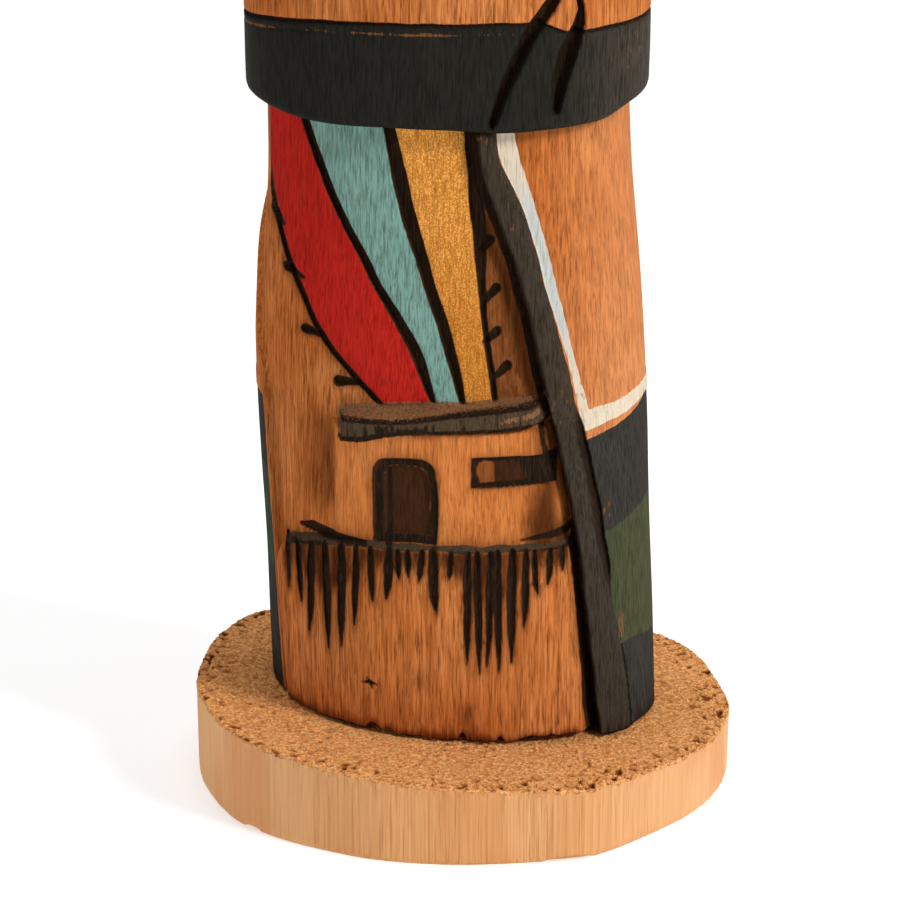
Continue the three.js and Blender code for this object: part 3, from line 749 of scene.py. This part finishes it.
def scorch(f, x, y, z):
    """Where the wood is browned by the burning pen or by old stain, and where shade and shadow are painted in
    with the same brown, 0 to 1.
    """
    past_left = f.strip_left
    streaks = noise(x / 0.9, y, z / 7, 21)
    # Right of the gold ray: browned wood, with painted shade deepening towards the strip.
    right = ramp(f.right_of_gold, 2.5, 0.6) * ramp(z, 2, 75)
    # Painted light and shade of a ridge beside the strip: a lighter band between darker bands.
    ridge_light_and_shade = 0.22 * np.cos((past_left + 0.4) * 2.6) * spread(past_left, 3)
    right = right * (0.74 + 0.22 * ramp(past_left, 6, -3) + ridge_light_and_shade - 0.12 * streaks)
    # Painted shadow cast by the house onto the panel at its left.
    beside = ramp(x, 8, -26.5) * ramp(-x, 1.0, 22.3) * ramp(z, 7, 55) * ramp(-z, 5, -72)
    house_shadow = beside * (0.66 + 0.12 * streaks)
    low_wall = ramp(-z, 10, -58)
    # Painted shade at the wall's right end, beside the proud strip.
    wall_end_shade = ramp(x + 2 * low_wall, 5, 12) * ramp(f.wall, 1) * (0.8 + 0.2 * low_wall - 0.2 * streaks)
    # A painted highlight on a lit edge near x 16.6, z 57 lightens that shade.
    wall_end_shade = wall_end_shade * (1 - 0.8 * np.exp(-((x - 16.6) ** 2) - ((z - 57) / 3.5) ** 2))
    # Painted shade along the foot of the leaning wall.
    wall_foot_shade = ramp(f.wall, 1) * np.exp(-np.clip(z - 51, 0, 20) / 1.6) * 0.5
    strokes = f.burnt_area * (0.8 + 0.2 * ramp(noise(x / 0.8, 0, z / 6, 22), 0.9, -0.1))
    # Beside the strip's left edge: partly burnt wood, partly painted shadow of the proud strip.
    gouge = spread(past_left, 1.6) * (past_left < 0)
    roof = close_to(z - roof_back.at(x) - 0.6, 1.1) * (x > -22) * 0.9 * (f.panel > 0)
    roof = roof * (0.75 - 0.35 * noise(x / 3, 0, z / 0.6, 23))
    # Painted shadow under the hem.
    hem_shadow = close_to(HEM_FOOT - z, 1.2) * 0.6 * (z < HEM_FOOT)
    # Painted shadow at the figure's foot, where the gap above the slice lies in shade.
    foot = spread(foot_height(x, y) - z, 0.5) * 0.7
    edge = close_to(f.panel, 1.0) * 0.4 * (x < -20) * ramp(-z, 6, -74)
    total = any_of(right, house_shadow, wall_end_shade, wall_foot_shade, strokes, gouge, roof, hem_shadow, foot, edge)
    halo = 0
    reaches = {"drips": 0.5, "ticks": 0.4, "groove": 0.45, "door_frame": 0.5, "window": 0.4}
    for name, reach in reaches.items():
        halo = np.maximum(halo, spread(vars(f)[name], reach) * 0.7)
    for knot_x, knot_z, size, share in KNOTS:
        knot = np.exp(-((x - knot_x) ** 2 + (z - knot_z) ** 2) / size**2)
        halo = np.maximum(halo, share * knot)
    return unit(np.maximum(total, halo * f.front)) * (z < HEM_SPLIT)


def wear(f, x, z):
    """Where rubbing has taken the paint off proud edges, and where a highlight is painted along the inside of
    the door's arch and right jamb, 0 to 1.4.
    """
    edge = close_to(f.strip - 0.5, 0.4) * (f.strip > -0.2) * 0.4
    streak = (f.strip > 0) * 0.3
    hem = close_to(f.hem_top - WORN_LINE, 0.22) * (z > HEM_FOOT) * (z < 143) * (x < 10)
    hem = hem * (1.6 + 1.2 * noise(x / 5, 0, 0, 67))
    # Painted highlight along the inside of the door's arch and right jamb.
    arch = close_to(f.door - 0.1, 0.22) * ((z > 63) | (x > -7)) * (z > 53)
    beam = (f.roof > 0.4) * 0.4
    top = (f.roof_back > -0.3) * (f.roof < 0.2) * (z > 70) * 0.7
    worn_and_lit = any_of(edge, streak, hem, arch, beam, top)
    for at_x, at_z, wide, high, share in WORN_SPOTS:
        worn_and_lit = any_of(worn_and_lit, unit(1.2 - ((x - at_x) / wide) ** 2 - ((z - at_z) / high) ** 2) * share)
    return np.clip(worn_and_lit, 0, 1.4)


def make_figure():
    points = figure_points()
    rows, columns = points.shape[:2]
    skin = points.reshape(-1, 3)
    first = len(skin) + 2
    parts = [skin, [(0.0, HEAD_Y, SLICE_HEIGHT + FOOT_GAP), (HEAD_X, HEAD_Y, CROWN_Z)]]
    quads = [grid_faces(rows, columns)]
    ring = np.arange(columns)
    fans = [(len(skin), ring, True), (len(skin) + 1, ring + len(skin) - columns, False)]
    for place in (-1, 0, 1):
        feather, feather_quads = feather_mesh(place)
        parts.append(feather)
        quads.append(feather_quads + first)
        last = first + len(feather) - FEATHER_COLUMNS
        fans.append((first, np.arange(first, first + FEATHER_COLUMNS), True))
        fans.append((last, np.arange(last, last + FEATHER_COLUMNS), False))
        first += len(feather)
    piece = new_mesh("carved_figure", np.concatenate(parts), np.concatenate(quads), fans)
    reduce_faces(piece, 194000)
    paint_attributes(piece)
    return piece


# ---------- the root slice ----------

def slice_rim(count):
    """Points evenly spaced along the slice's outline."""
    control = np.array(SLICE_OUTLINE, float)
    n = len(control)
    spans = []
    for i in range(n):
        p0, p1, p2, p3 = (control[(i + k) % n] for k in (-1, 0, 1, 2))
        knots = np.cumsum([0] + [math.dist(a, b) ** 0.5 for a, b in ((p0, p1), (p1, p2), (p2, p3))])
        t = np.linspace(knots[1], knots[2], 60, endpoint=False)[:, None]

        def mix(a, b, ta, tb):
            return a * (tb - t) / (tb - ta) + b * (t - ta) / (tb - ta)

        a1, a2, a3 = mix(p0, p1, *knots[:2]), mix(p1, p2, *knots[1:3]), mix(p2, p3, *knots[2:])
        b1, b2 = mix(a1, a2, knots[0], knots[2]), mix(a2, a3, knots[1], knots[3])
        spans.append(mix(b1, b2, knots[1], knots[2]))
    dense = np.concatenate(spans)
    closed = np.vstack([dense, dense[:1]])
    total = np.concatenate([[0], np.cumsum(np.hypot(*np.diff(closed, axis=0).T))])
    at = np.arange(count) * total[-1] / count
    return np.stack([np.interp(at, total, values) for values in closed.T], axis=-1)


def crumbs(x, y, rim):
    """The height of the torn end grain; rim is the distance in from the slice's edge."""
    wx = x + 0.4 * noise(x / 1.3, y / 1.3, 0, 31)
    wy = y + 0.4 * noise(x / 1.3, y / 1.3, 0, 32)
    grit = 0.5 * noise(wx / 0.55, wy / 0.55, 0, 33) + 0.4 * noise(wx / 0.34, wy / 0.34, 0, 34)
    rough = 0.6 + 0.4 * ramp(noise(x / 7, y / 7, 0, 36), 1.2)
    edge = ramp(-rim, 8, -4)
    pits = unit(noise(wx / 0.95, wy / 0.8, 0, 35) - 0.28) * 2.2
    tufts = unit(noise(wx / 0.8, wy / 0.8, 0, 37) - 0.35) * 0.9
    return (0.42 * grit + tufts * edge - pits * (0.3 + 0.7 * edge)) * rough * (0.65 + 0.35 * edge)


def make_base():
    columns = 930
    rim = slice_rim(columns)
    tangent = np.roll(rim, -1, axis=0) - np.roll(rim, 1, axis=0)
    normal = np.stack([tangent[:, 1], -tangent[:, 0]], axis=-1)
    normal /= np.hypot(*normal.T)[:, None]
    centre = np.array([0.0, 2.0])
    radius = np.hypot(*(rim - centre).T)
    x_rim, y_rim = rim.T
    top = slice_top(x_rim)
    # Shares of the side's height, and how far the lowest rows are rounded back.
    side_steps = np.array([0.0, 0.0, 0.03, 0.1, 0.22, 0.36, 0.5, 0.64, 0.76, 0.85, 0.9, 0.93, 0.955, 0.98])
    rounding = [0.9, 0.35, 0.08] + [0.0] * (len(side_steps) - 3)
    ragged = 0.3 * abs(noise(x_rim / 0.8, y_rim / 0.8, 0, 41))
    ragged = ragged + 0.25 * abs(noise(x_rim / 2.3, y_rim / 2.3, 0, 42))
    nicks = 1.1 * unit(1 - ((x_rim - 18) / 4.5) ** 2)
    nicks = (nicks + 0.7 * unit(1 - ((x_rim + 37) / 1.5) ** 2)) * (y_rim < 0)
    rows, pits = [], []
    for share, back in zip(side_steps, rounding):
        z = share * (top - 0.3) + nicks * ramp(-share, 0.05, -0.02) * 0.8
        wave = 0.12 * noise(x_rim / 6, y_rim / 6, z / 20, 43)
        wave = wave + 0.05 * noise(x_rim / 1.2, y_rim / 1.2, z / 12, 44)
        torn = unit(share - 0.88) * 10 * noise(x_rim / 0.6, y_rim / 0.6, z / 0.6, 47)
        ring = rim - normal * (back - wave + 0.3 * torn)[:, None]
        rows.append(np.column_stack([ring, z]))
        pits.append(0.35 * torn)
    edge = rim - normal * (ragged * 0.6)[:, None]
    rows.append(np.column_stack([edge, top - 0.1 - ragged * 0.8]))
    pits.append(0.3 - ragged)
    step = 0.3
    fine = np.arange(0.25, FINE_DEPTH, step)
    for depth in np.concatenate([fine, [24, 28, 33]]):
        share = np.clip(1 - depth / radius, 0.05, 1)
        ring = centre + (rim - centre) * share[:, None]
        x, y = ring.T
        drift = 0.14 if depth < FINE_DEPTH else 0
        grit = crumbs(x, y, depth) * (depth < 23)
        pits.append(grit)
        z = np.minimum(slice_top(x) - 0.15 + grit, slice_top(x) + 0.28 + (depth < 9) * 0.4)
        x = x + drift * noise(x / 0.6, y / 0.6, 0, 45)
        y = y + drift * noise(x / 0.6, y / 0.6, 0, 46)
        rows.append(np.column_stack([x, y, z]))
    points = np.concatenate(rows)
    middles = [(*centre, 0.0), (*centre, SLICE_HEIGHT)]
    quads = grid_faces(len(rows), columns)
    ring = np.arange(columns)
    fans = [(len(points), ring, True), (len(points) + 1, ring + (len(rows) - 1) * columns, False)]
    piece = new_mesh("root_slice", np.concatenate([points, middles]), quads, fans)
    side_faces = len(side_steps) * columns
    smooth = np.arange(len(piece.data.polygons)) < side_faces
    piece.data.polygons.foreach_set("use_smooth", smooth)
    x, y, z = points.T
    below_top = slice_top(x) - z
    torn_edge = 0.55 + 0.5 * noise(x / 0.8, y / 0.8, 0, 48)
    on_top = np.arange(len(points)) >= side_faces
    sawn = np.where(on_top, 1.0, torn_edge - below_top)
    store(piece, {"sawn": np.append(sawn, [0, 0]), "grit": np.append(np.concatenate(pits), [0, 0])})
    return piece


# ---------- materials ----------

class Shader:
    """A small helper that builds a material's nodes and hands their sockets about."""

    def __init__(self, name):
        self.material = bpy.data.materials.new(name)
        self.material.use_nodes = True
        self.tree = self.material.node_tree
        self.principled = self.tree.nodes["Principled BSDF"]
        self.place = self.add("ShaderNodeTexCoord").outputs["Object"]

    def add(self, kind, **settings):
        node = self.tree.nodes.new(kind)
        for key, value in settings.items():
            setattr(node, key, value)
        return node

    def feed(self, socket, value):
        """Links a socket to the value where it is a socket too, or else sets it."""
        if hasattr(value, "is_output"):
            self.tree.links.new(value, socket)
        else:
            socket.default_value = value

    def feed_all(self, node, values):
        for name, value in values.items():
            self.feed(node.inputs[name], value)

    def math(self, operation, a, b=0):
        node = self.add("ShaderNodeMath", operation=operation)
        self.feed(node.inputs[0], a)
        self.feed(node.inputs[1], b)
        return node.outputs[0]

    def times(self, a, b):
        return self.math("MULTIPLY", a, b)

    def plus(self, a, b):
        return self.math("ADD", a, b)

    def attribute(self, name):
        return self.add("ShaderNodeAttribute", attribute_name=name).outputs["Fac"]

    def axes(self):
        """The x, y and z of the place on the piece."""
        node = self.add("ShaderNodeSeparateXYZ")
        self.feed(node.inputs[0], self.place)
        return node.outputs

    def noise(self, across, along, detail=2, roughness=0.5, seed=0, distortion=0):
        """Noise with this many waves per millimetre across and along the grain, about 0 to 1."""
        mapping = self.add("ShaderNodeMapping")
        self.feed_all(mapping, {
            "Vector": self.place, "Location": (seed, seed * 0.7, seed * 1.3),
            "Scale": (across / MM, across / MM, along / MM),
        })
        texture = self.add("ShaderNodeTexNoise")
        self.feed_all(texture, {
            "Vector": mapping.outputs[0], "Scale": 1, "Detail": detail, "Roughness": roughness,
            "Distortion": distortion,
        })
        return texture.outputs["Fac"]

    def step(self, value, low, high):
        """0 below low, 1 above high."""
        node = self.add("ShaderNodeMapRange", interpolation_type="SMOOTHSTEP")
        self.feed_all(node, {"Value": value, "From Min": low, "From Max": high})
        return node.outputs[0]

    def mix(self, share, a, b, kind="RGBA"):
        """Mixes two colours, each a socket or three numbers from 0 to 255, or with FLOAT two numbers."""
        a, b = (linear(*value) if isinstance(value, tuple) else value for value in (a, b))
        node = self.add("ShaderNodeMix", data_type=kind)
        self.feed_all(node, {"Factor": share, "A": a, "B": b})
        return node.outputs["Result"]

    def bump(self, height, depth, strength):
        """The normal of a fine relief, with its depth in millimetres."""
        node = self.add("ShaderNodeBump")
        self.feed_all(node, {"Height": height, "Distance": depth * MM, "Strength": strength})
        return node.outputs[0]


def linear(red, green, blue):
    """A colour given as 0 to 255, as the renderer's linear values."""
    channels = [c / 255 for c in (red, green, blue)]
    values = [c / 12.92 if c <= 0.04045 else ((c + 0.055) / 1.055) ** 2.4 for c in channels]
    return (*values, 1)


def wood(s, light, mid, dark, slit, strength=0.6, length=1):
    """Straight-grained wood: broad tone, long growth lines, fine fibres and dark slits between them."""
    broad = s.noise(0.06, 0.03, 2, 0.5, 1)
    tone = s.mix(s.step(broad, 0.35, 0.68), mid, light)
    grain = s.noise(0.9, 0.03 / length, 3, 0.6, 3, 0.3)
    tone = s.mix(s.times(s.step(grain, 0.4, 0.7), strength * 0.7), tone, dark)
    fibre = s.noise(2.4, 0.12 / length, 3, 0.6, 7, 0.5)
    tone = s.mix(s.times(s.step(fibre, 0.38, 0.66), strength), tone, dark)
    slits = s.step(s.noise(2.7, 0.2 / length, 2, 0.6, 9, 0.4), 0.5, 0.72)
    tone = s.mix(s.times(slits, strength), tone, slit)
    return tone, slits


def figure_material():
    s = Shader("carved_cottonwood")
    uneven = s.times(s.math("SUBTRACT", s.noise(1.4, 0.5, 2, 0.5, 9), 0.5), 0.35)
    thin = s.noise(3, 0.28, 3, 0.65, 11, 0.4)

    def inside(name):
        return s.step(s.plus(s.attribute(name), uneven), -0.07, 0.07)

    tone, slits = wood(s, (219, 139, 78), (203, 117, 58), (146, 70, 21), (90, 37, 8))
    axes = s.axes()
    height = axes["Z"]
    right = s.step(axes["X"], 12 * MM, 31 * MM)
    tone = s.mix(s.times(inside("robe"), s.mix(right, 0.02, 0.32, "FLOAT")), tone, (230, 162, 112))
    tone = s.mix(s.times(inside("fresh"), 0.25), tone, (240, 148, 78))
    # Dark brown where the wood is browned, and where shade and shadow are painted in.
    tone = s.mix(s.times(s.attribute("scorch"), 0.92), tone, (58, 26, 8))
    glitter = s.step(s.noise(3.4, 3, 2, 0.7, 15), 0.42, 0.62)
    upper = s.step(height, 84 * MM, 112 * MM)
    gold = s.mix(
        glitter, s.mix(upper, (186, 108, 34), (206, 126, 48)), s.mix(upper, (232, 164, 74), (255, 192, 96)),
    )
    olive = s.mix(right, (59, 72, 59), (76, 78, 53))
    # Painted shade: the white turns bluish grey along its middle stretch, as on the shaded side of a bevel.
    white_shade_band = s.times(s.step(height, 78 * MM, 90 * MM), s.step(height, 116 * MM, 108 * MM))
    white = s.mix(white_shade_band, (224, 208, 182), (200, 204, 200))
    hem_black = s.mix(right, (39, 38, 33), (69, 62, 53))
    # Where it lies, colour, shade in the grain, cover and how much grain shows; the later over the earlier.
    paints = [
        ("red", (190, 34, 28), (112, 17, 12), 0.97, 0.6),
        ("turquoise", (122, 168, 158), (68, 86, 70), 0.95, 0.7),
        ("gold", gold, (140, 80, 24), 0.95, 0.5),
        ("black", (58, 57, 53), (32, 31, 27), 0.995, 0.8),
        ("green", olive, (46, 50, 32), 0.99, 0.8),
        ("white", white, (182, 176, 164), 0.98, 0.5),
        ("strip", (64, 57, 48), (34, 28, 21), 0.99, 0.8),
        ("hem", hem_black, (21, 20, 16), 1, 0.7),
        ("ruff", (80, 88, 58), (46, 54, 30), 0.97, 0.6),
        ("hair", (40, 38, 34), (24, 22, 20), 0.97, 0.6),
        ("brow", (104, 150, 138), (66, 104, 98), 0.95, 0.6),
        ("ear", (170, 34, 26), (120, 14, 10), 0.95, 0.6),
        ("slots", (40, 24, 14), (24, 14, 8), 0.97, 0.6),
        ("feather", (60, 54, 48), (36, 32, 28), 0.9, 0.6),
        ("door", (60, 37, 22), (34, 19, 10), 0.96, 0.6),
        ("roof_top", (134, 98, 68), (56, 42, 32), 0.85, 0.9),
        ("beam", (78, 64, 48), (42, 32, 22), 0.96, 0.6),
    ]
    masks = {name: inside(name) for name, *_ in paints}
    for name, colour, shade, cover, grain in paints:
        body = s.mix(s.times(s.step(thin, 0.4, 0.72), grain), colour, shade)
        body = s.mix(s.times(slits, grain * 0.6), body, shade)
        tone = s.mix(s.times(masks[name], cover), tone, body)
    # Near black for burnt lines, and for the painted shade and shadow beside the strip and along the foot.
    burnt = s.step(s.plus(s.attribute("burn"), uneven), -0.15, 0.12)
    char_and_shadow = s.mix(s.step(thin, 0.4, 0.7), (27, 21, 16), (54, 38, 25))
    tone = s.mix(s.times(burnt, 0.97), tone, char_and_shadow)
    # Bare wood colour where rubbing has taken the paint off, and as a painted highlight inside the door.
    worn_and_lit = s.attribute("wear")
    rubbed_and_lit = s.step(s.plus(s.noise(2.2, 0.4, 3, 0.65, 13), s.times(worn_and_lit, 0.3)), 0.72, 0.86)
    rubbed_and_lit = s.times(rubbed_and_lit, s.step(worn_and_lit, 0.1, 0.4))
    tone = s.mix(s.times(rubbed_and_lit, 0.7), tone, (138, 84, 46))
    relief = s.math("SUBTRACT", s.times(thin, 0.8), s.times(slits, 0.7))
    s.feed_all(s.principled, {
        "Base Color": tone,
        "Normal": s.bump(relief, 0.16, 0.8),
        "Roughness": s.mix(s.math("MAXIMUM", masks["hem"], burnt), 0.75, 0.55, "FLOAT"),
        "Specular IOR Level": 0.02,
        "Metallic": s.times(s.times(masks["gold"], glitter), 0.4),
    })
    return s.material


def slice_material():
    s = Shader("sawn_root")
    side, slits = wood(s, (228, 172, 118), (219, 159, 103), (202, 136, 82), (172, 104, 58), 0.5, 3)
    # Painted light: the slice's side is lighter towards its left and right, where it turns to the side lamps.
    lit_ends = s.step(s.math("ABSOLUTE", s.axes()["X"]), 12 * MM, 44 * MM)
    side = s.mix(s.times(lit_ends, 0.4), side, (246, 200, 152))
    reddish = s.step(s.noise(0.07, 0.02, 2, 0.5, 21), 0.5, 0.68)
    side = s.mix(s.times(reddish, 0.4), side, (206, 130, 78))
    crumb = s.noise(1.6, 1.6, 3, 0.7, 23)
    top = s.mix(s.step(crumb, 0.38, 0.62), (198, 126, 66), (238, 176, 114))
    # Painted shade: darker where the torn grain sinks into pits.
    top = s.mix(s.step(s.attribute("grit"), 0.08, -0.5), top, (118, 62, 22))
    speck = s.noise(3.2, 3.2, 1, 0.5, 25)
    top = s.mix(s.times(s.step(speck, 0.58, 0.68), 0.5), top, (126, 68, 26))
    torn = s.step(s.attribute("sawn"), -0.05, 0.1)
    fine = s.times(s.noise(3.5, 3.5, 2, 0.6, 27), torn)
    s.feed_all(s.principled, {
        "Base Color": s.mix(torn, side, top),
        "Normal": s.bump(s.math("SUBTRACT", fine, s.times(slits, 0.4)), 0.15, 0.6),
        "Roughness": 0.85,
        "Specular IOR Level": 0.05,
    })
    return s.material


# ---------- camera, floor and light ----------

def make_camera():
    """Looks down on the doll's lower part from straight in front."""
    tilt = 20.8
    data = bpy.data.cameras.new("camera")
    data.sensor_width = 36
    data.lens = 171.9
    data.clip_start = 0.01
    camera = add_object("camera", data)
    camera.location = Vector((-2.4, -703.45, 328.2)) * MM
    camera.rotation_euler = (math.radians(90 - tilt), 0, 0)
    bpy.context.scene.camera = camera


def softbox(name, place, aim, size, power):
    data = bpy.data.lights.new(name, "AREA")
    data.shape = "RECTANGLE"
    data.size, data.size_y = size
    data.energy = power
    light = add_object(name, data)
    light.location = place
    light.rotation_euler = (Vector(aim) - Vector(place)).to_track_quat("-Z", "Y").to_euler()


def make_stage():
    mesh = bpy.data.meshes.new("floor")
    mesh.from_pydata([(-2.5, -2, 0), (2.5, -2, 0), (2.5, 2.5, 0), (-2.5, 2.5, 0)], [], [(0, 1, 2, 3)])
    floor = add_object("floor", mesh)
    s = Shader("pale_floor")
    s.feed_all(s.principled, {
        "Base Color": (0.65, 0.65, 0.65, 1), "Roughness": 0.9,
        "Emission Color": (1, 1, 1, 1), "Emission Strength": 0.5,
    })
    mesh.materials.append(s.material)
    world = bpy.data.worlds.new("studio")
    bpy.context.scene.world = world
    world.use_nodes = True
    background = world.node_tree.nodes["Background"]
    background.inputs["Color"].default_value = (1, 1, 1, 1)
    background.inputs["Strength"].default_value = 0.15
    middle = (0, 0, 0.09)
    softbox("key", (0.95, -0.6, 0.8), middle, (0.3, 0.3), 13.0)
    softbox("fill", (-0.9, -0.9, 0.5), middle, (0.8, 0.8), 2.8)
    softbox("overhead", (0.0, 0.2, 1.2), middle, (0.9, 0.7), 9)
    bpy.context.scene.view_settings.view_transform = "Standard"


# ---------- the scene ----------

make_camera()
make_stage()

figure = make_figure()
figure.data.materials.append(figure_material())
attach(figure, "root")
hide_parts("figure")

base = make_base()
base.data.materials.append(slice_material())
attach(base, "root")
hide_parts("base")
